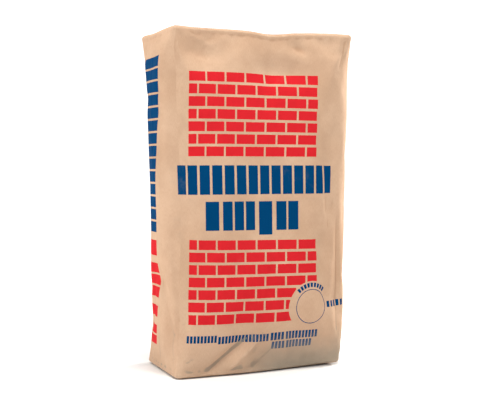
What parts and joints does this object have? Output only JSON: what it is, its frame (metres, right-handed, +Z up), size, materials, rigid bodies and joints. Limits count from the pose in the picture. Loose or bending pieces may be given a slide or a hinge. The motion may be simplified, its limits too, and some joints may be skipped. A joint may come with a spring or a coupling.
{
  "type": "cement bag",
  "caption": "Filled paper sack of cement standing on its folded block bottom, with pasted closing sheets and a filling valve.",
  "frame": {"origin": "on the floor under the middle of the sack's outline, at the level of the bottom closing sheet's underside", "axes": "+X along the wide front towards the side with the filling valve, +Y from the front to the back through the sack's depth, +Z up its height"},
  "size_m": [0.3838, 0.2046, 0.63],
  "materials": {
    "kraft_paper": "matte unbleached kraft paper",
    "patch_paper": "matte unbleached kraft paper",
    "sleeve_paper": "smooth pale paper",
    "cement_powder": "dry grey powder"
  },
  "bodies": {
    "root": {"paper_sack": "kraft_paper", "cement_fill": "cement_powder", "valve_sleeve": "sleeve_paper", "bottom_closing_patch": "patch_paper", "top_closing_patch": "patch_paper"}
  },
  "joints": []
}
